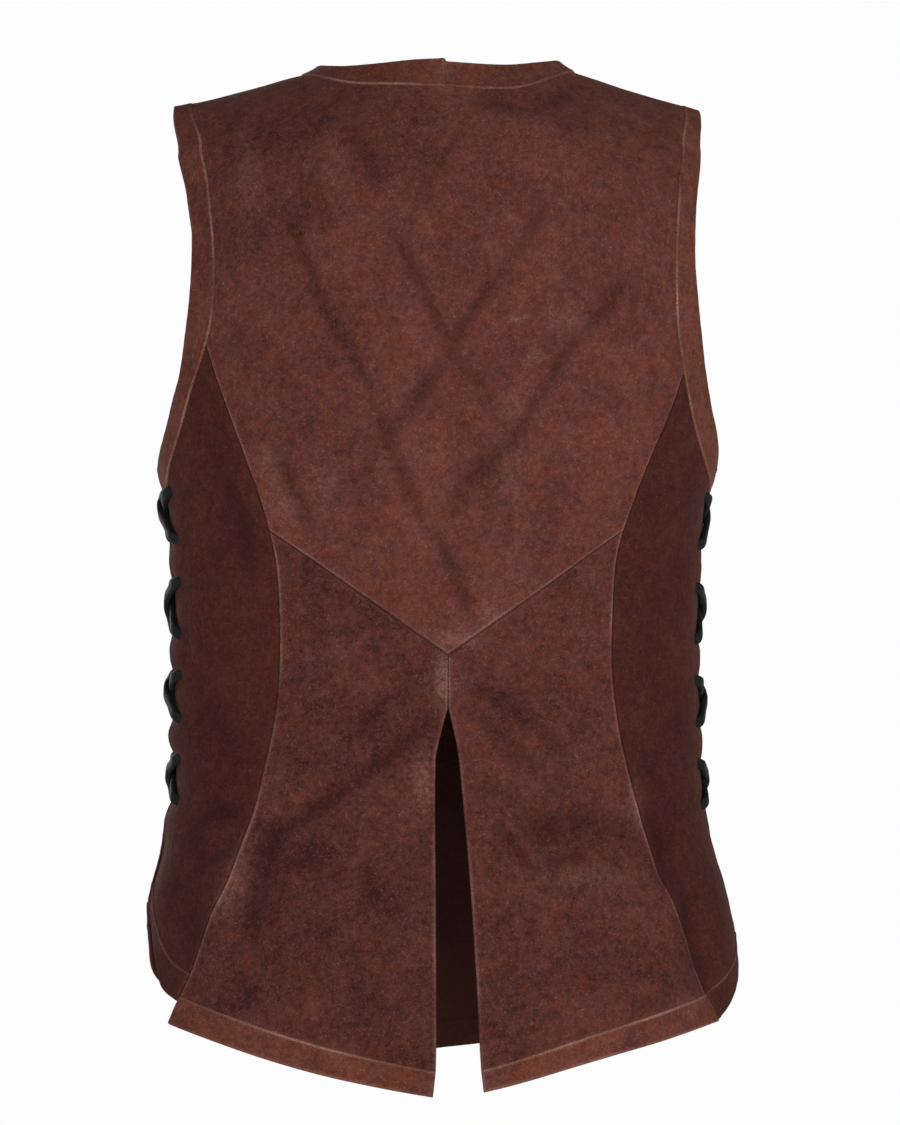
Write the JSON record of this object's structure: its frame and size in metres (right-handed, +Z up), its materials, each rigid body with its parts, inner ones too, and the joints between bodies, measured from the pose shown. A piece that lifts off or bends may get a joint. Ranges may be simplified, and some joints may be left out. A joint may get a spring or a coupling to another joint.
{
  "type": "sleeveless bodice with laced sides",
  "caption": "Hollow suede bodice with a pointed back yoke, flared skirts, a centre back vent, laced sides and bound edges.",
  "frame": {"origin": "midway between the neck ends of the two shoulder seams, where the wearer's shoulders carry it", "axes": "+Z up, +Y towards the wearer's back, -Y towards the wearer's front, +X towards the wearer's left"},
  "size_m": [0.3805, 0.2487, 0.6467],
  "materials": {
    "suede": "matte brushed suede, reddish brown",
    "dark_suede": "matte brushed suede, darker brown",
    "binding": "matte suede strip, folded double",
    "lace": "matte black round lace"
  },
  "bodies": {
    "root": {"back_yoke": "suede", "back_skirt_left": "suede", "back_skirt_right": "suede", "front": "suede", "side_back_left": "dark_suede", "side_back_right": "dark_suede", "neck_band_left": "binding", "neck_band_right": "binding", "armhole_band_left": "binding", "armhole_band_right": "binding", "hem_band_back_left": "binding", "hem_band_back_right": "binding", "hem_band_side_left": "binding", "hem_band_side_right": "binding", "hem_band_front": "binding", "lace_left": "lace", "lace_right": "lace"}
  },
  "joints": []
}
